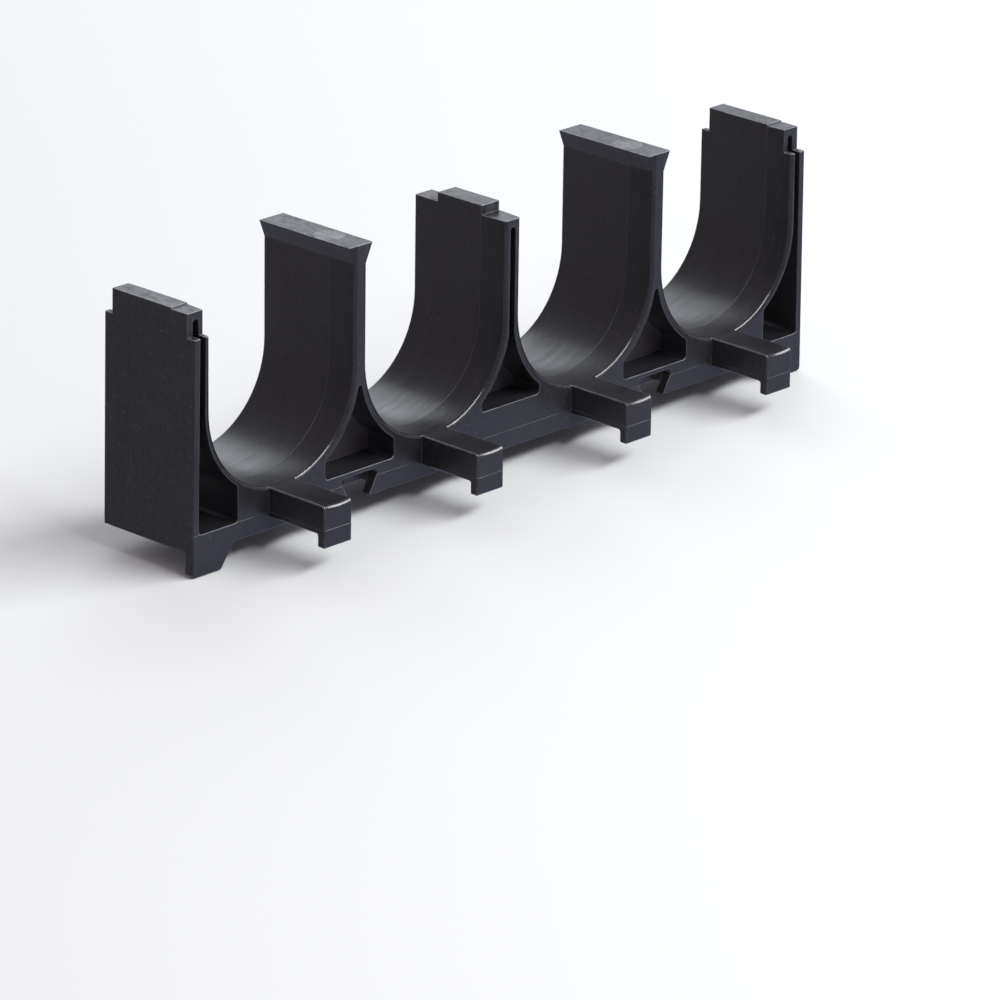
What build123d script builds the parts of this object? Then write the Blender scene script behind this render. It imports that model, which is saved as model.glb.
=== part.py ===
"""Stackable cable rack spacer, one piece moulded in black nylon.

Four open channels stand in a row between five walls. The first and third inner walls
carry a dovetail rail on top and a matching socket below, for stacking.

X runs along the row, -Y is the front with the tabs, +Z is up. The origin is the middle
of the seat, the plane at the underside of the base. Millimetres.
"""
from build123d import *
from math import sqrt
import os

# Channels: 2 inches (50.8 mm) with a little room
CHANNEL_WIDTH = 52.0
CHANNEL_FLOOR = 12.0
FLARE = 0.6
FLARE_DEPTH = 9.0
BACK_FLARE = 0.3
RIM_RADIUS = 0.9
RAIL_EDGE_RADIUS = 0.4

# Body
BODY_DEPTH = 34.0
STACK_PITCH = 66.0
END_WALL = 5.3
RAIL_WALL = 4.4
MIDDLE_WALL = 5.6
END_LEAN = 0.9
SKIN = 2.2
RIB = 2.0
PLATE = 2.8

# Wall tops, stepped for stacking
END_TONGUE_HEIGHT = 7.0
END_TONGUE_INSET = 2.9
END_TONGUE_STEP = 0.4
MIDDLE_GAP = 0.7
MIDDLE_TONGUE_HEIGHT = 2.7
MIDDLE_TONGUE_LENGTH = 16.6
RAIL_GAP = 0.4
RAIL_HEIGHT = 4.9
RAIL_WIDTH = 8.9

# Dovetail sockets under the two rail walls, with room round a rail of the size above
SOCKET_HEAD_ROOM = 1.8
SOCKET_SIDE_ROOM = 2.35
SOCKET_MOUTH_ROOM = 0.9
SOCKET_SHOULDER = 1.5
SOCKET_CORNER = 1.4
TONGUE_ROOM = 1.0

# Recesses between the channel skins, open at the front and at the back
RECESS_DEPTH = 10.2
WEB = 2.2
RECESS_CORNER = 1.2
RAIL_RECESS_FLOOR = 8.3
RAIL_RECESS_SIDE = 5.6
APEX_RADIUS = 0.8
MIDDLE_RECESS_FLOOR = 12.7
MIDDLE_RECESS_SIDE = 2.8
MIDDLE_SLOT_COVER = 2.1
END_RECESS_FLOOR = 4.9
END_RECESS_WIDTH = 14.3
END_SKIN = 2.0
END_SLOT_COVER = 2.4
SLOT_WIDTH = 2.1

# Tabs, one at the foot of each channel, with a top that carries on the channel's curve
TAB_LENGTH = 20.8
TAB_WIDTH = 10.2
TAB_UNDERSIDE = 3.6
TAB_LIP = 2.6
TAB_NOSE_RADIUS = 1.2
TAB_EDGE = 0.3
TAB_INNER_RADIUS = 0.7
TAB_ROOT_RADIUS = 0.8

# Front legs, which hook over the edge of what carries the base
LEG_DROP = 6.7
LEG_FOOT = 10.4
LEG_SLOPE = 4.6
LEG_FOOT_RADIUS = 1.0
LEG_ROOT_RADIUS = 3.0

# Small radii on the outside
CORNER_RADIUS = 0.3

# Worked out from the sizes above
THROAT = CHANNEL_WIDTH / 2
MOUTH = THROAT + FLARE
ARC_HEIGHT = CHANNEL_FLOOR + THROAT
SKIN_ARC = MOUTH + SKIN
END_SHOULDER = STACK_PITCH - END_TONGUE_HEIGHT
MIDDLE_SHOULDER = STACK_PITCH - MIDDLE_GAP
MIDDLE_TONGUE_TOP = MIDDLE_SHOULDER + MIDDLE_TONGUE_HEIGHT
RAIL_FOOT = STACK_PITCH + RAIL_GAP
RAIL_TOP = RAIL_FOOT + RAIL_HEIGHT
SOCKET_HEIGHT = RAIL_TOP - STACK_PITCH + SOCKET_HEAD_ROOM
FRONT = -BODY_DEPTH / 2
BACK = BODY_DEPTH / 2
WEB_FRONT = FRONT + RECESS_DEPTH
WEB_BACK = WEB_FRONT + WEB
INNER_CHANNEL_X = MIDDLE_WALL / 2 + MOUTH
RAIL_X = INNER_CHANNEL_X + MOUTH + RAIL_WALL / 2
OUTER_CHANNEL_X = RAIL_X + RAIL_WALL / 2 + MOUTH
HALF_LENGTH = OUTER_CHANNEL_X + MOUTH + END_WALL
HALF_FOOT = HALF_LENGTH + END_LEAN
CHANNELS = (-OUTER_CHANNEL_X, -INNER_CHANNEL_X, INNER_CHANNEL_X, OUTER_CHANNEL_X)
CLEAR = 6.0


def prism(face, near, far):
    """Solid between two depths from a face drawn in X and Z."""
    return extrude(Plane.XZ.offset(-near) * face, amount=near - far)


def block(x_range, y_range, z_range):
    """Box between two limits on each axis."""
    limits = (x_range, y_range, z_range)
    size = [high - low for low, high in limits]
    middle = [(high + low) / 2 for low, high in limits]
    return Pos(*middle) * Box(*size)


def lean(height):
    """Distance from the middle of the row to the outer face of an end wall."""
    return HALF_FOOT - END_LEAN * height / STACK_PITCH


def mirrored(solid):
    """The same solid at the other end of the row."""
    return mirror(solid, about=Plane.YZ)


def channel_face(radius, rail_side):
    """U shape about a channel's axis. A rail head leans over it on one side, -1 or 1."""
    top = RAIL_TOP + CLEAR
    head = MOUTH + (RAIL_WALL - RAIL_WIDTH) / 2
    arc = ThreePointArc((-radius, ARC_HEIGHT), (0, ARC_HEIGHT - radius), (radius, ARC_HEIGHT))
    rest = Polyline((rail_side * radius, ARC_HEIGHT), (rail_side * radius, RAIL_FOOT),
                    (rail_side * head, RAIL_TOP), (rail_side * head, top),
                    (-rail_side * radius, top), (-rail_side * radius, ARC_HEIGHT))
    return make_face([arc] + list(rest.edges()))


def channel_cutter(rail_side):
    """What one channel takes away: a straight throat with a flare at each face."""
    throat = channel_face(THROAT, rail_side)
    mouth = channel_face(MOUTH, rail_side)
    back_mouth = channel_face(THROAT + BACK_FLARE, rail_side)
    cutter = prism(throat, FRONT, BACK)
    for face, inward, outline in ((FRONT, FLARE_DEPTH, mouth), (BACK, -FLARE_DEPTH, back_mouth)):
        wide = Plane.XZ.offset(-face) * outline
        narrow = Plane.XZ.offset(-face - inward) * throat
        cutter += loft([wide.faces()[0], narrow.faces()[0]], ruled=True)
    return cutter


def blank():
    """The whole row as a solid block, with the rail heads and without any opening."""
    outline = Polyline((-HALF_FOOT, 0), (HALF_FOOT, 0), (HALF_LENGTH, STACK_PITCH),
                       (-HALF_LENGTH, STACK_PITCH), close=True)
    body = prism(make_face(outline), FRONT, BACK)
    for centre in (-RAIL_X, RAIL_X):
        body += block((centre - RAIL_WIDTH / 2, centre + RAIL_WIDTH / 2), (FRONT, BACK),
                      (END_SHOULDER, RAIL_TOP))
    return body


def is_rim(edge):
    """True for an edge between a channel and the front face."""
    box = edge.bounding_box()
    flat = abs(box.min.Y - FRONT) < 0.01 and box.size.Y < 0.01
    in_row = max(abs(box.min.X), abs(box.max.X)) < HALF_LENGTH - END_WALL / 2
    return flat and in_row and box.min.Z > CHANNEL_FLOOR - FLARE - 0.01 and box.size.Z > 1.0


def is_rail_edge(edge):
    """True for the leaning part of a rim, at the end of a rail."""
    return is_rim(edge) and edge.bounding_box().min.Z > RAIL_FOOT - 0.01


def cut_channels(body):
    """Cuts the four channels and rounds their rims at the front."""
    for centre in CHANNELS:
        rail_side = 1 if centre in (-OUTER_CHANNEL_X, INNER_CHANNEL_X) else -1
        body -= Pos(centre, 0, 0) * channel_cutter(rail_side)
    rims = [edge for edge in body.edges() if is_rim(edge) and not is_rail_edge(edge)]
    body = fillet(rims, RIM_RADIUS)
    return fillet([edge for edge in body.edges() if is_rail_edge(edge)], RAIL_EDGE_RADIUS)


def shape_wall_tops(body):
    """Stepped tongues on the end walls and the low tongue on the middle wall."""
    above = RAIL_TOP + CLEAR
    inner = OUTER_CHANNEL_X + THROAT - 1
    outer = HALF_FOOT + CLEAR
    for depth, floor in (((FRONT - CLEAR, FRONT + END_TONGUE_INSET), END_SHOULDER),
                         ((BACK - END_TONGUE_INSET, BACK + CLEAR), END_SHOULDER),
                         ((FRONT, FRONT + FLARE_DEPTH), STACK_PITCH - END_TONGUE_STEP)):
        cut = block((inner, outer), depth, (floor, above))
        body = body - cut - mirrored(cut)
    half_wall = INNER_CHANNEL_X - THROAT
    body -= block((-half_wall - 1, half_wall + 1), (FRONT - CLEAR, BACK + CLEAR),
                  (MIDDLE_SHOULDER, above))
    body += block((-half_wall, half_wall), (-MIDDLE_TONGUE_LENGTH / 2, MIDDLE_TONGUE_LENGTH / 2),
                  (MIDDLE_SHOULDER - 1, MIDDLE_TONGUE_TOP))
    return body


def skin_height(channel_distance, half_gap):
    """Height at which the skins of two channels stand a given half gap from their middle."""
    return ARC_HEIGHT - sqrt(SKIN_ARC ** 2 - (channel_distance - half_gap) ** 2)


def half_gap_at(channel_distance, height):
    """Half of the gap between the skins of two channels at a height below their axes."""
    return channel_distance - sqrt(SKIN_ARC ** 2 - (ARC_HEIGHT - height) ** 2)


def recess_face(channel_distance, floor, side, slot_top):
    """Recess between two channels, closed by a rounded apex or drawn on up as a slot."""
    half_neck = APEX_RADIUS if slot_top is None else SLOT_WIDTH / 2
    neck = skin_height(channel_distance, half_neck)
    width = 2 * half_gap_at(channel_distance, floor + side)
    face = Pos(0, (floor + neck) / 2) * Rectangle(width, neck - floor)
    for side in (-1, 1):
        face -= Pos(side * channel_distance, ARC_HEIGHT) * Circle(SKIN_ARC)
    face = fillet([v for v in face.vertices() if v.Y < neck - 1], RECESS_CORNER)
    end = neck if slot_top is None else slot_top - half_neck
    if slot_top is not None:
        face += Pos(0, (neck - 0.5 + end) / 2) * Rectangle(2 * half_neck, end - neck + 0.5)
    return face + Pos(0, end) * Circle(half_neck)


def end_recess_face():
    """Recess between the right end wall's outer skin and the last channel."""
    outer = lean(ARC_HEIGHT) - END_SKIN
    radius = outer - SLOT_WIDTH - OUTER_CHANNEL_X
    outer_foot = lean(END_RECESS_FLOOR) - END_SKIN
    inner = outer_foot - END_RECESS_WIDTH
    face = make_face(Polyline((inner, END_RECESS_FLOOR), (outer_foot, END_RECESS_FLOOR),
                              (outer, ARC_HEIGHT), (inner, ARC_HEIGHT), close=True))
    face -= Pos(OUTER_CHANNEL_X, ARC_HEIGHT) * Circle(radius)
    return fillet([v for v in face.vertices() if v.Y < ARC_HEIGHT - radius / 2], RECESS_CORNER)


def end_slot_face():
    """Narrow slot that runs from the end recess up inside the wall and its tongue."""
    foot = lean(ARC_HEIGHT) - END_SKIN
    top = STACK_PITCH - END_SLOT_COVER
    head = lean(top) - END_SKIN
    end = top - SLOT_WIDTH / 2
    face = make_face(Polyline((foot - SLOT_WIDTH, ARC_HEIGHT - 0.5), (foot, ARC_HEIGHT - 0.5),
                              (head, end), (head - SLOT_WIDTH, end), close=True))
    return face + Pos(head - SLOT_WIDTH / 2, end) * Circle(SLOT_WIDTH / 2)


def cut_recesses(body):
    """Cores out the walls from the front and the back, and leaves a web between."""
    rail = recess_face(RAIL_X - INNER_CHANNEL_X, RAIL_RECESS_FLOOR, RAIL_RECESS_SIDE, None)
    middle = recess_face(INNER_CHANNEL_X, MIDDLE_RECESS_FLOOR, MIDDLE_RECESS_SIDE,
                         MIDDLE_SHOULDER - MIDDLE_SLOT_COVER)
    faces = [Pos(-RAIL_X, 0) * rail, Pos(RAIL_X, 0) * rail, middle]
    for near, far in ((FRONT - CLEAR, WEB_FRONT), (WEB_BACK, BACK + CLEAR)):
        for face in faces:
            body -= prism(face, near, far)
        slot = prism(end_slot_face(), near, far)
        body = body - slot - mirrored(slot)
    end_recess = prism(end_recess_face(), FRONT - CLEAR, BACK + CLEAR)
    return body - end_recess - mirrored(end_recess)


def socket_cutter():
    """Dovetail groove, open at both faces."""
    half_mouth = RAIL_WALL / 2 + FLARE + SOCKET_MOUTH_ROOM
    half_width = RAIL_WIDTH / 2 + SOCKET_SIDE_ROOM
    shoulder = SOCKET_HEIGHT - SOCKET_SHOULDER
    face = make_face(Polyline((-half_mouth, 0), (-half_width, shoulder),
                              (-half_width, SOCKET_HEIGHT), (half_width, SOCKET_HEIGHT),
                              (half_width, shoulder), (half_mouth, 0), close=True))
    face = fillet([v for v in face.vertices() if v.Y > SOCKET_HEIGHT - 0.01], SOCKET_CORNER)
    below = Pos(0, -CLEAR / 2) * Rectangle(2 * half_mouth, CLEAR)
    return prism(face + below, FRONT - CLEAR, BACK + CLEAR)


def under_cell(low, high, roof, depth):
    """Open cell under the base between two places along the row."""
    return block((low, high), depth, (-CLEAR, roof))


def hollow_base(body):
    """Cells under the base behind the front plate, with the web as a spine between them."""
    rail_half = half_gap_at(RAIL_X - INNER_CHANNEL_X, RAIL_RECESS_FLOOR + RAIL_RECESS_SIDE)
    middle_half = half_gap_at(INNER_CHANNEL_X, MIDDLE_RECESS_FLOOR + MIDDLE_RECESS_SIDE)
    end_inner = lean(END_RECESS_FLOOR) - END_SKIN - END_RECESS_WIDTH
    spans = ((INNER_CHANNEL_X, middle_half + RIB, RAIL_X - rail_half - RIB),
             (OUTER_CHANNEL_X, RAIL_X + rail_half + RIB, end_inner - RIB))
    for depth in ((FRONT + PLATE, WEB_FRONT), (WEB_BACK, BACK - PLATE)):
        for centre, low, high in spans:
            middle = (low + high) / 2
            skin = Pos(centre, 0, ARC_HEIGHT) * Rot(90, 0, 0) * Cylinder(SKIN_ARC, 2 * BODY_DEPTH)
            cells = under_cell(low, middle - RIB / 2, ARC_HEIGHT / 2, depth)
            cells += under_cell(middle + RIB / 2, high, ARC_HEIGHT / 2, depth)
            cells -= skin
            body = body - cells - mirrored(cells)
        rail = under_cell(RAIL_X - rail_half + RIB, RAIL_X + rail_half - RIB, SOCKET_HEIGHT, depth)
        end = under_cell(end_inner + RIB, HALF_LENGTH - END_SKIN, END_RECESS_FLOOR - RIB, depth)
        body = body - rail - mirrored(rail) - end - mirrored(end)
        body -= under_cell(-middle_half + RIB, middle_half - RIB, MIDDLE_RECESS_FLOOR - RIB, depth)
    tongue_way = MIDDLE_TONGUE_TOP - STACK_PITCH + TONGUE_ROOM
    body -= block((-middle_half + RIB, middle_half - RIB), (WEB_FRONT - 1, WEB_BACK + 1),
                  (-CLEAR, tongue_way))
    for centre in (-RAIL_X, RAIL_X):
        body -= Pos(centre, 0, 0) * socket_cutter()
    return body


def leg():
    """Right front leg: the front plate carried on below the seat, with a sloping inner edge."""
    foot = lean(-LEG_DROP)
    inner = foot - LEG_FOOT
    slope_top = inner - LEG_SLOPE
    root_end = slope_top - LEG_ROOT_RADIUS
    face = make_face(Polyline((lean(0), 0), (foot, -LEG_DROP), (inner, -LEG_DROP), (slope_top, 0),
                              (root_end, 0), (root_end, PLATE), (lean(PLATE), PLATE), close=True))
    face = fillet([v for v in face.vertices() if v.Y < -LEG_DROP + 0.01], LEG_FOOT_RADIUS)
    root = [v for v in face.vertices() if abs(v.X - slope_top) < 0.01]
    return prism(fillet(root, LEG_ROOT_RADIUS), FRONT, FRONT + PLATE)


def tab():
    """Bar at the foot of a channel with a lip that points down, about the channel's middle."""
    tip = FRONT - TAB_LENGTH
    lip_back = tip + TAB_LIP
    top = ARC_HEIGHT - sqrt(MOUTH ** 2 - TAB_WIDTH ** 2 / 4)
    root = FRONT + PLATE / 2
    side = make_face(Polyline((root, top), (tip, top), (tip, 0), (lip_back, 0),
                              (lip_back, TAB_UNDERSIDE), (root, TAB_UNDERSIDE), close=True))
    inner = [v for v in side.vertices() if abs(v.X - lip_back) < 0.01 and v.Y > 1]
    bar = extrude(Plane.YZ * fillet(inner, TAB_INNER_RADIUS), amount=TAB_WIDTH / 2, both=True)
    bar -= Pos(0, FRONT, ARC_HEIGHT) * Rot(90, 0, 0) * Cylinder(MOUTH, 3 * TAB_LENGTH)
    bar = fillet([edge for edge in bar.edges() if is_nose(edge)], TAB_NOSE_RADIUS)
    sharp = [edge for edge in bar.edges() if (edge @ 0.5).Y < root - 0.01 and not is_crosswise(edge)]
    sharp += [edge for edge in bar.edges().filter_by(Axis.X) if (edge @ 0.5).Z < 0.01]
    return chamfer(sharp, TAB_EDGE)


def is_nose(edge):
    """True for the upper front edge of a tab."""
    middle = edge @ 0.5
    return is_crosswise(edge) and middle.Y < FRONT - TAB_LENGTH + 0.01 and middle.Z > TAB_UNDERSIDE


def is_crosswise(edge):
    """True for an edge that runs along the row."""
    return edge.bounding_box().size.X > TAB_WIDTH / 2


def is_tab_root(edge):
    """True for the edge where a tab's underside meets the front face."""
    middle = edge @ 0.5
    box = edge.bounding_box()
    return abs(box.min.Y - FRONT) < 0.01 and box.size.Y < 0.01 and abs(middle.Z - TAB_UNDERSIDE) < 0.01


def is_outer_corner(edge):
    """True for the upright edges of the two end faces."""
    box = edge.bounding_box()
    return box.min.X > HALF_LENGTH - 0.01 and box.size.Z > END_SHOULDER / 2 or (
        box.max.X < 0.01 - HALF_LENGTH and box.size.Z > END_SHOULDER / 2)


def build_spacer():
    """The finished moulding."""
    body = cut_channels(blank())
    body = shape_wall_tops(body)
    body = cut_recesses(body)
    body = hollow_base(body)
    body = body + leg() + mirrored(leg())
    for centre in CHANNELS:
        body += Pos(centre, 0, 0) * tab()
    body = fillet([edge for edge in body.edges() if is_tab_root(edge)], TAB_ROOT_RADIUS)
    return fillet([edge for edge in body.edges() if is_outer_corner(edge)], CORNER_RADIUS)


os.makedirs("parts", exist_ok=True)
spacer = build_spacer()
export_step(spacer, "parts/cable_spacer.step")
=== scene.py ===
from math import cos, sin

import bpy
from mathutils import Matrix, Vector


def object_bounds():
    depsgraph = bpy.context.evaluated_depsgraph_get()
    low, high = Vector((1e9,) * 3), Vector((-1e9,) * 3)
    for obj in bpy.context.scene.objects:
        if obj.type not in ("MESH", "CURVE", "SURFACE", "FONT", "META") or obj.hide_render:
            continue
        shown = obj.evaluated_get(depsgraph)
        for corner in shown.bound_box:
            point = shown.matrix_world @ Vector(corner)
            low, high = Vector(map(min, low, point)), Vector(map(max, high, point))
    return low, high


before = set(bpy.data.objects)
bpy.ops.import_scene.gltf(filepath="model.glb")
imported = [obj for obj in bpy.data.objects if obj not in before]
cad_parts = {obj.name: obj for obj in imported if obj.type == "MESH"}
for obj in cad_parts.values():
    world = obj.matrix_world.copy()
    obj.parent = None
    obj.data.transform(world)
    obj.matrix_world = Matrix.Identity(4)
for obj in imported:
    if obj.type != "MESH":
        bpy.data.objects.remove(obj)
cad_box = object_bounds()

# Sizes that the materials need, in metres, in the frame of the part
PARTING_HEIGHT = 0.0050
RAIL_X = 0.0582
RAIL_TOP = 0.0713
SHOULDER = 0.0585
EJECTOR_RADIUS = 0.0044
EJECTOR_Y = -0.0050
HALF_PITCH = 0.0288
CHANNEL_AXIS = 0.0380
CHANNEL_REACH = 0.0268
FLARE_START = -0.0080
FRONT = -0.0170
TAB_START = FRONT - 0.0005
TAB_FULL = FRONT - 0.0010
MOUTH = 0.0266
RIM_RADIUS = 0.0009
END_FACE_START = 0.1168
END_FACE_FULL = 0.1176
# Distances from the middle of the part's depth over which the recesses are paled by painted light, fully and
# then not at all
RECESS_FILL_FULL = 0.0030
RECESS_FILL_END = 0.0150

# Points nearer than this are joined, in metres. An edge is crisp above this angle, in radians,
# and within this distance of the plane where the channels begin to flare
JOIN_DISTANCE = 1e-6
CRISP_ANGLE = 0.318
FLARE_TOLERANCE = 1e-5

# Colours of the nylon: bare, dusty and worn, with painted light that pales the deep recesses, painted
# highlights on the edges and along the tops of the walls, and a painted sheen on the ejector marks
DARK_NYLON = (0.0118, 0.0104, 0.0124)
PALE_NYLON = (0.0236, 0.0215, 0.0250)
RECESS_FILL_LIGHT = (0.080, 0.070, 0.079)
PALE_WEAR_AND_HIGHLIGHT = (0.38, 0.40, 0.44)
PAINTED_TOP_EDGE_HIGHLIGHT = (0.70, 0.74, 0.80)
FINE_DUST = (0.10, 0.10, 0.11)
DUST_SPECKS = (0.30, 0.30, 0.31)
SCUFFED_TOP = (0.14, 0.14, 0.15)
EJECTOR_SHEEN = (0.24, 0.24, 0.25)
NYLON_IOR = 1.53

# Size of the dust, width of the wear and painted highlight on an edge, and open room that an edge needs for
# them, in metres
DUST_CELL = 0.0024
DUST_RADIUS = 0.00015
WEAR_AND_HIGHLIGHT_WIDTH = 0.0005
WEAR_AND_HIGHLIGHT_ROOM = 0.004

# Heights of the relief, in metres
GRAIN_HEIGHT = 0.00009
FLOW_HEIGHT = 0.0006
DRAG_HEIGHT = 0.00012
MARK_HEIGHT = 0.00009

# Floor: two close tones of pale paper, half its side, and its distance below the part
FLOOR_TONES = ((0.88, 0.875, 0.85), (0.90, 0.895, 0.87))
FLOOR_ROUGHNESS = 0.9
FLOOR_HALF = 6.0
FLOOR_GAP = 0.0002

# Lights: name, place, point that it faces, width and height in metres, power in watts, colour
LIGHTS = (
    ("behind_right", (0.80, 1.02, 0.95), (0, 0, 0.03), (1.15, 1.0), 8.2, (0.87, 0.95, 1.0)),
    ("front_top", (0.58, -0.97, 1.25), (0.15, 0, 0.03), (2.1, 0.34), 32.0, (0.93, 0.97, 1.0)),
)

# What the part sees around it: a dim room, and a cooler side in this direction
DIM_ROOM = (0.31, 0.285, 0.315, 1.0)
COOL_ROOM = (0.46, 0.52, 0.72, 1.0)
COOL_SIDE = (0.36, -0.345, -1.1)
COOL_FULL = 0.9

# Camera, fitted to the photograph: angles in radians, place in metres, lens and sensor in millimetres
AZIMUTH, ELEVATION, ROLL = 0.8108, 0.3557, 0.0150
EYE = (-1.2579, -1.2091, 0.6283)
LENS = 242.76
SENSOR_WIDTH = 36.0
NEAREST, FARTHEST = 0.05, 50.0


def crisp_edges(piece):
    """Keeps an edge crisp where two faces meet at an angle, and where the channels begin to flare."""
    tree = bpy.data.node_groups.new("crisp_edges", "GeometryNodeTree")
    for direction in ("INPUT", "OUTPUT"):
        tree.interface.new_socket("Geometry", in_out=direction, socket_type="NodeSocketGeometry")
    add = tree.nodes.new

    def calculate(operation, second=None):
        node = add("ShaderNodeMath")
        node.operation = operation
        if second is not None:
            node.inputs[1].default_value = second
        return node

    start, end = add("NodeGroupInput"), add("NodeGroupOutput")
    joined = add("GeometryNodeMergeByDistance")
    joined.inputs["Distance"].default_value = JOIN_DISTANCE
    plain = add("GeometryNodeRemoveAttribute")
    plain.inputs["Name"].default_value = "custom_normal"
    smooth = add("GeometryNodeSetShadeSmooth")
    crisp = add("GeometryNodeSetShadeSmooth")
    crisp.domain = "EDGE"
    crisp.inputs["Shade Smooth"].default_value = False
    angle = add("GeometryNodeInputMeshEdgeAngle")
    split = add("ShaderNodeSeparateXYZ")
    sharp = calculate("GREATER_THAN", CRISP_ANGLE)
    off = calculate("SUBTRACT", FLARE_START)
    size = calculate("ABSOLUTE")
    near = calculate("LESS_THAN", FLARE_TOLERANCE)
    either = calculate("MAXIMUM")
    for source, target in (
        (start.outputs[0], joined.inputs["Geometry"]),
        (joined.outputs[0], plain.inputs["Geometry"]),
        (plain.outputs[0], smooth.inputs["Geometry"]),
        (smooth.outputs[0], crisp.inputs["Geometry"]),
        (crisp.outputs[0], end.inputs[0]),
        (angle.outputs["Unsigned Angle"], sharp.inputs[0]),
        (add("GeometryNodeInputPosition").outputs[0], split.inputs[0]),
        (split.outputs["Y"], off.inputs[0]),
        (off.outputs[0], size.inputs[0]),
        (size.outputs[0], near.inputs[0]),
        (sharp.outputs[0], either.inputs[0]),
        (near.outputs[0], either.inputs[1]),
        (either.outputs[0], crisp.inputs["Selection"]),
    ):
        tree.links.new(source, target)
    piece.modifiers.new("crisp_edges", "NODES").node_group = tree
    even = piece.modifiers.new("even_normals", "WEIGHTED_NORMAL")
    even.mode = "FACE_AREA_WITH_ANGLE"
    even.keep_sharp = True


class Nodes:
    """Short helper for building the node tree of a material."""

    def __init__(self, name):
        self.material = bpy.data.materials.new(name)
        self.material.use_nodes = True
        self.tree = self.material.node_tree
        self.tree.nodes.clear()

    def add(self, kind, **values):
        node = self.tree.nodes.new(kind)
        for key, value in values.items():
            setattr(node, key, value)
        return node

    def link(self, source, target):
        self.tree.links.new(source, target)

    def value(self, socket, amount):
        if isinstance(amount, (int, float)):
            socket.default_value = amount
        else:
            self.link(amount, socket)

    def math(self, operation, a, b=0.0, clamp=False):
        node = self.add("ShaderNodeMath", operation=operation, use_clamp=clamp)
        self.value(node.inputs[0], a)
        self.value(node.inputs[1], b)
        return node.outputs[0]

    def chain(self, operation, first, others):
        for other in others:
            first = self.math(operation, first, other)
        return first

    def product(self, first, *others):
        return self.chain("MULTIPLY", first, others)

    def total(self, first, *others):
        return self.chain("ADD", first, others)

    def largest(self, first, *others):
        return self.chain("MAXIMUM", first, others)

    def less(self, a, b):
        return self.math("SUBTRACT", a, b)

    def size(self, a):
        return self.math("ABSOLUTE", a)

    def hypotenuse(self, a, b):
        return self.math("SQRT", self.total(self.product(a, a), self.product(b, b)))

    def ramp(self, source, low, high, to_low=0.0, to_high=1.0):
        node = self.add("ShaderNodeMapRange", clamp=True, interpolation_type="SMOOTHSTEP")
        self.link(source, node.inputs["Value"])
        for name, amount in (("From Min", low), ("From Max", high), ("To Min", to_low), ("To Max", to_high)):
            node.inputs[name].default_value = amount
        return node.outputs["Result"]

    def noise(self, vector, scale, detail, roughness=0.55):
        node = self.add("ShaderNodeTexNoise")
        self.link(vector, node.inputs["Vector"])
        for name, amount in (("Scale", scale), ("Detail", detail), ("Roughness", roughness)):
            node.inputs[name].default_value = amount
        return node.outputs["Fac"]

    def specks(self, vector, cell, radius):
        node = self.add("ShaderNodeTexVoronoi", feature="F1")
        self.link(vector, node.inputs["Vector"])
        node.inputs["Scale"].default_value = 1 / cell
        return self.ramp(node.outputs["Distance"], 0.6 * radius / cell, radius / cell, 1.0, 0.0)

    def stretched(self, vector, scale):
        node = self.add("ShaderNodeMapping")
        self.link(vector, node.inputs["Vector"])
        node.inputs["Scale"].default_value = scale
        return node.outputs["Vector"]

    def parts(self, vector):
        node = self.add("ShaderNodeSeparateXYZ")
        self.link(vector, node.inputs[0])
        return tuple(node.outputs)

    def direction(self, *parts):
        node = self.add("ShaderNodeCombineXYZ")
        for socket, part in zip(node.inputs, parts):
            self.value(socket, part)
        return node.outputs[0]

    def mix_colour(self, factor, first, second):
        node = self.add("ShaderNodeMix", data_type="RGBA")
        self.link(factor, node.inputs["Factor"])
        for socket, colour in ((node.inputs[6], first), (node.inputs[7], second)):
            if isinstance(colour, tuple):
                socket.default_value = (*colour, 1.0)
            else:
                self.link(colour, socket)
        return node.outputs[2]

    def mix_normal(self, factor, first, second):
        node = self.add("ShaderNodeMix", data_type="VECTOR")
        self.link(factor, node.inputs["Factor"])
        for socket, direction in ((node.inputs[4], first), (node.inputs[5], second)):
            unit = self.add("ShaderNodeVectorMath", operation="NORMALIZE")
            self.link(direction, unit.inputs[0])
            self.link(unit.outputs[0], socket)
        return node.outputs[1]

    def bump(self, height, distance, strength, normal):
        node = self.add("ShaderNodeBump")
        node.inputs["Strength"].default_value = strength
        node.inputs["Distance"].default_value = distance
        self.link(height, node.inputs["Height"])
        self.link(normal, node.inputs["Normal"])
        return node.outputs["Normal"]

    def surface(self):
        """Adds the shader, linked to the output of the material."""
        shader = self.add("ShaderNodeBsdfPrincipled")
        out = self.add("ShaderNodeOutputMaterial")
        self.link(shader.outputs["BSDF"], out.inputs["Surface"])
        return shader


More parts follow.
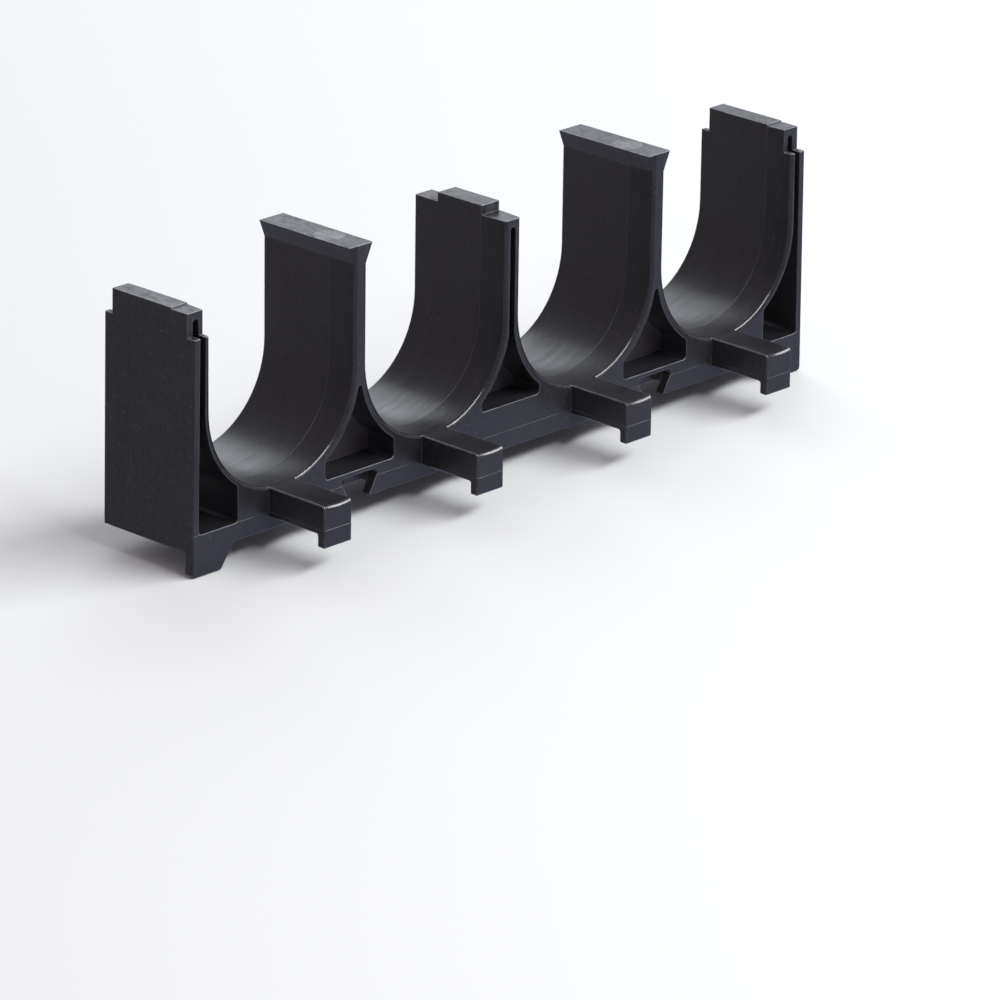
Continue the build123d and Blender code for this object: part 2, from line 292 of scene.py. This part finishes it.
class Place:
    """Where a point of the nylon lies, which way it faces, and the patterns that several layers share."""

    def __init__(self, n):
        self.point = n.add("ShaderNodeTexCoord").outputs["Object"]
        self.x, self.y, self.z = n.parts(self.point)
        geometry = n.add("ShaderNodeNewGeometry")
        flat = n.parts(geometry.outputs["True Normal"])
        across, along = n.size(flat[0]), n.size(flat[1])
        self.upward = flat[2]
        self.smooth = geometry.outputs["Normal"]
        self.smooth_parts = n.parts(self.smooth)
        self.turned = n.size(self.smooth_parts[1])

        # End faces, front face, all upright flat sides, and tops of the walls
        from_middle = n.size(self.x)
        at_end = n.ramp(from_middle, END_FACE_START, END_FACE_FULL)
        self.end_face = n.product(n.ramp(across, 0.985, 0.999), at_end)
        self.front_face = n.ramp(along, 0.93, 0.99)
        self.flat_side = n.largest(n.ramp(across, 0.97, 0.999), n.ramp(along, 0.97, 0.999))
        self.level = n.ramp(self.upward, 0.97, 0.999)
        self.wall_top = n.product(self.level, n.ramp(self.z, SHOULDER - 0.0004, SHOULDER))

        # Distance from the axis of the nearest channel, and the inside of the channels
        self.off_rail = n.less(from_middle, RAIL_X)
        self.to_axis = n.less(n.size(self.off_rail), HALF_PITCH)
        self.below_axis = n.math("MINIMUM", n.less(self.z, CHANNEL_AXIS), 0.0)
        self.channel_radius = n.hypotenuse(self.to_axis, self.below_axis)
        in_reach = n.ramp(self.channel_radius, CHANNEL_REACH, CHANNEL_REACH + 0.0002, 1.0, 0.0)
        self.in_channel = n.product(in_reach, n.ramp(along, 0.10, 0.30, 1.0, 0.0))

        # The line where the channels begin to flare, and the ejector marks on the rails
        from_flare = n.size(n.less(self.y, FLARE_START))
        self.flare_line = n.product(n.ramp(from_flare, 0.00005, 0.00016, 1.0, 0.0), self.in_channel)
        on_rail = n.product(n.ramp(self.z, RAIL_TOP - 0.0004, RAIL_TOP - 0.0002), self.wall_top)
        from_pin = n.hypotenuse(self.off_rail, n.less(self.y, EJECTOR_Y))
        in_pin = n.ramp(from_pin, EJECTOR_RADIUS - 0.00012, EJECTOR_RADIUS, 1.0, 0.0)
        self.ejector = n.product(in_pin, on_rail)

        # Clouds and streaks from the flow of the melt, and patches of handling
        self.cloud = n.noise(self.point, 38.0, 4.0)
        self.streak = n.noise(n.stretched(self.point, (40.0, 1100.0, 40.0)), 1.0, 4.0, 0.6)
        self.patchy = n.noise(self.point, 330.0, 3.0)
        self.rubbed = n.ramp(n.noise(self.point, 55.0, 3.0), 0.52, 0.70)
        scratches = n.noise(n.stretched(self.point, (520.0, 300.0, 520.0)), 1.0, 4.0, 0.65)
        self.scuff = n.product(n.ramp(scratches, 0.47, 0.66), self.wall_top)


def flat_nose(n, at):
    """Noses of the tabs, nearly flat across their rounding, as a mould cutter leaves them."""
    sideways, forward, upward = at.smooth_parts
    spread = n.largest(n.hypotenuse(sideways, upward), 0.001)
    normal = n.direction(n.math("DIVIDE", sideways, spread), n.math("SIGN", forward),
                         n.math("DIVIDE", upward, spread))
    share = n.product(n.ramp(at.turned, 0.12, 0.28), n.ramp(at.turned, 0.92, 0.98, 1.0, 0.0),
                      n.ramp(at.y, TAB_FULL, TAB_START, 1.0, 0.0))
    return share, normal


def flat_rim(n, at):
    """Front rims of the channels, flat in the same way, turning about the axis of each channel."""
    side = n.product(n.math("SIGN", at.off_rail), n.math("SIGN", at.x), -1.0)
    inward_x = n.math("DIVIDE", n.product(at.to_axis, side), at.channel_radius)
    inward_z = n.math("DIVIDE", n.product(at.below_axis, -1.0), at.channel_radius)
    round_part = n.math("DIVIDE", n.less(FRONT + RIM_RADIUS, at.y), RIM_RADIUS)
    forward = n.ramp(round_part, 0.0, 1.0, 0.40, 0.60)
    inward = n.less(1.0, forward)
    normal = n.direction(n.product(inward_x, inward), n.product(forward, -1.0), n.product(inward_z, inward))
    rim_end = MOUTH + RIM_RADIUS
    share = n.product(n.ramp(at.turned, 0.09, 0.14), n.ramp(round_part, 0.0, 0.06),
                      n.ramp(at.channel_radius, rim_end - 0.0001, rim_end, 1.0, 0.0),
                      n.ramp(at.y, FRONT - 0.0002, FRONT - 0.0001))
    return share, normal


def worn_and_highlit_edges(n, at, rounded_normal):
    """Wear and a painted highlight on outer edges, stronger where they face up, and none where something
    near covers them.
    """
    turn = n.add("ShaderNodeVectorMath", operation="DOT_PRODUCT")
    n.link(rounded_normal, turn.inputs[0])
    n.link(at.smooth, turn.inputs[1])
    open_air = n.add("ShaderNodeAmbientOcclusion", samples=6, only_local=True)
    open_air.inputs["Distance"].default_value = WEAR_AND_HIGHLIGHT_ROOM
    upward = n.parts(rounded_normal)[2]
    return n.product(n.ramp(turn.outputs["Value"], 0.92, 0.99, 1.0, 0.0),
                     n.ramp(open_air.outputs["AO"], 0.60, 0.85),
                     n.ramp(at.patchy, 0.30, 0.60, 0.4, 1.0),
                     n.ramp(upward, 0.15, 0.50, 0.30, 1.0))


def mould_lines(n, at):
    """Pale lines that the mould leaves at its parting, and where the channels begin to flare, the second
    paler low in the channels.
    """
    from_parting = n.size(n.less(at.z, PARTING_HEIGHT))
    flash = n.product(n.ramp(from_parting, 0.00004, 0.00014, 1.0, 0.0), at.flat_side,
                      n.ramp(n.noise(at.point, 70.0, 3.0), 0.40, 0.62, 0.08, 0.34),
                      n.ramp(at.y, TAB_FULL, TAB_START, 1.0, 0.4))
    flare = n.product(at.flare_line, n.ramp(at.z, 0.014, 0.036, 0.45, 0.12),
                      n.ramp(at.patchy, 0.30, 0.60, 0.3, 1.0))
    return n.largest(flash, flare)


def recess_fill_light(n, at):
    """Painted light: the upright sides deep in the recesses between the channels are paled, lifting their
    shade.
    """
    near_middle = n.ramp(n.size(at.y), RECESS_FILL_FULL, RECESS_FILL_END, 1.0, 0.0)
    off_channel = n.ramp(at.channel_radius, MOUTH + 0.0010, MOUTH + 0.0014)
    above_seat = n.ramp(at.z, 0.0, 0.001)
    inside = n.less(1.0, n.largest(at.end_face, at.level))
    return n.product(near_middle, off_channel, above_seat, inside)


def loose_dust(n, at):
    """Dust specks, gathered in places or fallen on what faces up, and finer dust on rubbed places."""
    gathered = n.product(n.specks(at.point, DUST_CELL, DUST_RADIUS),
                         n.ramp(n.noise(at.point, 120.0, 2.0), 0.50, 0.54))
    fallen = n.product(n.specks(at.point, 0.8 * DUST_CELL, DUST_RADIUS), n.ramp(at.upward, 0.5, 0.9))
    fine = n.product(n.ramp(n.noise(at.point, 900.0, 2.0), 0.60, 0.74),
                     n.largest(at.rubbed, n.product(at.end_face, 0.8)))
    return n.largest(gathered, n.product(fallen, 0.8)), fine


def nylon_colour(n, at, rounded_normal):
    """Colour: nearly even nylon, with painted light in the recesses, dust, scuffs, wear with painted edge
    highlights, and marks with a painted sheen laid over it in turn.
    """
    speckle = n.noise(at.point, 800.0, 3.0, 0.6)
    tone = n.total(n.product(at.cloud, 0.35), n.product(at.streak, 0.30), n.product(speckle, 0.35))
    colour = n.mix_colour(n.ramp(tone, 0.35, 0.65), DARK_NYLON, PALE_NYLON)
    specks, fine = loose_dust(n, at)
    worn_and_highlit = worn_and_highlit_edges(n, at, rounded_normal)
    for share, strength, paint in (
        # Recesses paled deep inside: painted light
        (recess_fill_light(n, at), 0.8, RECESS_FILL_LIGHT),
        (fine, 0.35, FINE_DUST),
        (specks, 0.75, DUST_SPECKS),
        (at.scuff, 0.55, SCUFFED_TOP),
        # Edges paled by wear and a painted highlight, mould lines paled, and a brighter painted highlight
        # along the tops of the walls
        (n.largest(worn_and_highlit, mould_lines(n, at)), 0.6, PALE_WEAR_AND_HIGHLIGHT),
        (n.product(worn_and_highlit, at.wall_top), 0.8, PAINTED_TOP_EDGE_HIGHLIGHT),
        # Ejector marks paled: a painted sheen
        (n.product(at.ejector, n.ramp(at.patchy, 0.35, 0.60, 0.5, 1.0)), 0.5, EJECTOR_SHEEN),
    ):
        colour = n.mix_colour(n.product(share, strength), colour, paint)
    return colour


def nylon_roughness(n, at, rounded):
    """Roughness: matte on the textured end faces, a soft satin elsewhere, smoother on the roundings."""
    satin = n.ramp(at.cloud, 0.3, 0.7, 0.27, 0.36)
    streaky = n.product(at.in_channel, n.ramp(at.streak, 0.40, 0.65, 0.0, 0.08))
    rough = n.total(satin, n.product(at.end_face, 0.24), n.product(at.front_face, 0.05),
                    n.product(at.rubbed, 0.05))
    rough = n.math("ADD", rough, n.total(streaky, n.product(at.scuff, 0.30)), clamp=True)
    return n.product(rough, n.less(1.0, n.product(rounded, 0.43)))


def nylon_relief(n, at, normal):
    """Relief: spark texture, flow, drag marks on the wall tops, and the marks of the mould."""
    grain = n.noise(at.point, 2600.0, 3.0, 0.6)
    grain = n.product(grain, n.total(n.product(at.end_face, 1.4), 0.2))
    flow = n.noise(n.stretched(at.point, (90.0, 12.0, 30.0)), 1.0, 2.0)
    drag = n.noise(n.stretched(at.point, (1500.0, 260.0, 1500.0)), 1.0, 3.0, 0.6)
    below_parting = n.ramp(at.z, PARTING_HEIGHT - 0.00007, PARTING_HEIGHT + 0.00007, 1.0, 0.0)
    ledge = n.product(below_parting, at.flat_side)
    marks = n.less(n.total(ledge, n.product(at.flare_line, 0.6)), at.ejector)
    for height, distance, strength in (
        (grain, GRAIN_HEIGHT, 0.55),
        (flow, FLOW_HEIGHT, 0.13),
        (n.product(drag, at.wall_top), DRAG_HEIGHT, 0.5),
        (marks, MARK_HEIGHT, 1.0),
    ):
        normal = n.bump(height, distance, strength, normal)
    return normal


def black_nylon():
    """Black moulded nylon: spark texture outside, smoother channels, parting line and ejector marks."""
    n = Nodes("black_nylon")
    at = Place(n)
    edge = n.add("ShaderNodeBevel", samples=8)
    edge.inputs["Radius"].default_value = WEAR_AND_HIGHLIGHT_WIDTH
    rounded_normal = edge.outputs["Normal"]
    nose, nose_normal = flat_nose(n, at)
    rim, rim_normal = flat_rim(n, at)
    normal = n.mix_normal(n.product(nose, 0.65), rounded_normal, nose_normal)
    normal = n.mix_normal(rim, normal, rim_normal)
    shader = n.surface()
    n.link(nylon_colour(n, at, rounded_normal), shader.inputs["Base Color"])
    n.link(nylon_roughness(n, at, n.largest(rim, nose)), shader.inputs["Roughness"])
    n.link(nylon_relief(n, at, normal), shader.inputs["Normal"])
    shader.inputs["IOR"].default_value = NYLON_IOR
    return n.material


def floor_paper():
    """Plain pale paper under the part."""
    n = Nodes("floor_paper")
    tone = n.noise(n.add("ShaderNodeTexCoord").outputs["Object"], 1.5, 2.0)
    shader = n.surface()
    n.link(n.mix_colour(tone, *FLOOR_TONES), shader.inputs["Base Color"])
    shader.inputs["Roughness"].default_value = FLOOR_ROUGHNESS
    return n.material


def paper_floor(height):
    """Square floor at a height."""
    mesh = bpy.data.meshes.new("floor")
    corners = [(-FLOOR_HALF, -FLOOR_HALF, 0), (FLOOR_HALF, -FLOOR_HALF, 0),
               (FLOOR_HALF, FLOOR_HALF, 0), (-FLOOR_HALF, FLOOR_HALF, 0)]
    mesh.from_pydata(corners, [], [(0, 1, 2, 3)])
    mesh.materials.append(floor_paper())
    sheet = bpy.data.objects.new("floor", mesh)
    bpy.context.scene.collection.objects.link(sheet)
    sheet.location = (0, 0, height)
    sheet.visible_glossy = False
    return sheet


def softbox(name, place, target, size, power, colour):
    """Rectangular light that looks at a point."""
    data = bpy.data.lights.new(name, "AREA")
    data.shape = "RECTANGLE"
    data.size, data.size_y = size
    data.energy = power
    data.color = colour
    lamp = bpy.data.objects.new(name, data)
    lamp.visible_camera = False
    lamp.location = place
    lamp.rotation_euler = (Vector(target) - Vector(place)).to_track_quat("-Z", "Y").to_euler()
    bpy.context.scene.collection.objects.link(lamp)


def dim_room():
    """World round the part: a dim room, cooler low down and to the front right."""
    world = bpy.data.worlds.new("studio")
    world.use_nodes = True
    nodes, links = world.node_tree.nodes, world.node_tree.links
    toward = nodes.new("ShaderNodeVectorMath")
    toward.operation = "DOT_PRODUCT"
    toward.inputs[1].default_value = COOL_SIDE
    share = nodes.new("ShaderNodeMapRange")
    share.inputs["From Max"].default_value = COOL_FULL
    tint = nodes.new("ShaderNodeMix")
    tint.data_type = "RGBA"
    tint.inputs[6].default_value = DIM_ROOM
    tint.inputs[7].default_value = COOL_ROOM
    links.new(nodes.new("ShaderNodeTexCoord").outputs["Generated"], toward.inputs[0])
    links.new(toward.outputs["Value"], share.inputs["Value"])
    links.new(share.outputs["Result"], tint.inputs["Factor"])
    links.new(tint.outputs[2], nodes["Background"].inputs["Color"])
    return world


def fitted_camera():
    """Camera at the photograph's viewing angle."""
    back = Vector((-sin(AZIMUTH) * cos(ELEVATION), -cos(AZIMUTH) * cos(ELEVATION), sin(ELEVATION)))
    right = Vector((cos(AZIMUTH), -sin(AZIMUTH), 0.0))
    up = back.cross(right)
    rolled_right = right * cos(ROLL) + up * sin(ROLL)
    rolled_up = up * cos(ROLL) - right * sin(ROLL)
    data = bpy.data.cameras.new("camera")
    data.sensor_width = SENSOR_WIDTH
    data.lens = LENS
    data.clip_start = NEAREST
    data.clip_end = FARTHEST
    camera = bpy.data.objects.new("camera", data)
    rotation = Matrix((rolled_right, rolled_up, back)).transposed().to_4x4()
    camera.matrix_world = Matrix.Translation(EYE) @ rotation
    bpy.context.scene.collection.objects.link(camera)
    return camera


# The part in its material
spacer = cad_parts["cable_spacer"]
spacer.data.materials.clear()
spacer.data.materials.append(black_nylon())
crisp_edges(spacer)

# Floor, under the lowest point of the part
floor = paper_floor(cad_box[0][2] - FLOOR_GAP)

# Light and camera
for light in LIGHTS:
    softbox(*light)
bpy.context.scene.world = dim_room()
bpy.context.scene.camera = fitted_camera()
bpy.context.scene.view_settings.view_transform = "Standard"
